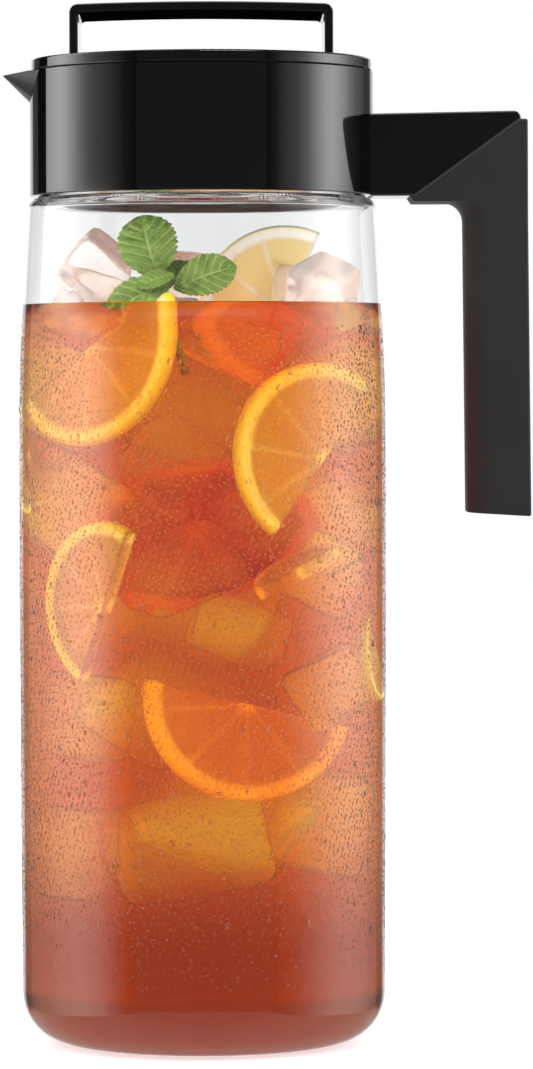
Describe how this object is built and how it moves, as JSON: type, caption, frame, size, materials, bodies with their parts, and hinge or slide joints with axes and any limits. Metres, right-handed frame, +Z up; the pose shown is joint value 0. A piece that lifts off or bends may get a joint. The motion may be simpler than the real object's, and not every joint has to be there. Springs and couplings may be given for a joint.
{
  "type": "pitcher with lid",
  "caption": "Tall clear pitcher with a black pouring collar, box arm and soft grip, and a lift-out turning lid with a strap loop.",
  "frame": {"origin": "centre of the base's flat underside, on the vessel's axis", "axes": "+Z up along the vessel's axis, -X towards the pouring beak, +X towards the handle"},
  "size_m": [0.155, 0.1076, 0.305],
  "materials": {
    "clear_glass": "clear, polished",
    "gloss_black": "high gloss",
    "matte_black": "fine satin",
    "soft_grip": "soft-touch matt",
    "silicone": "matt",
    "nylon": "moulded",
    "steel": "bright"
  },
  "bodies": {
    "pitcher": {"vessel": "clear_glass", "mouth_gasket": "silicone", "retaining_ring": "nylon", "collar": "gloss_black", "handle_core": "nylon", "handle_arm": "gloss_black", "grip": "soft_grip", "handle_screws": "steel"},
    "seal": {"ring_seal": "silicone"},
    "lid": {"lid_disc": "gloss_black", "lid_plug": "matte_black", "lid_sleeve": "silicone", "leg_seals": "silicone", "lid_screws": "steel"},
    "loop": {"loop_handle": "gloss_black", "stop_pins": "steel"}
  },
  "joints": [
    {"name": "lid_lift", "type": "slide", "parent": "pitcher", "child": "seal", "axis": [0, 0, 1], "range_m": [0, 0.08]},
    {"name": "lid_turn", "type": "hinge", "parent": "seal", "child": "lid", "pos_m": [0, 0, 0.2856], "axis": [0, 0, 1], "continuous": true},
    {"name": "loop_press", "type": "slide", "parent": "lid", "child": "loop", "axis": [0, 0, -1], "range_m": [0, 0.0108]}
  ]
}
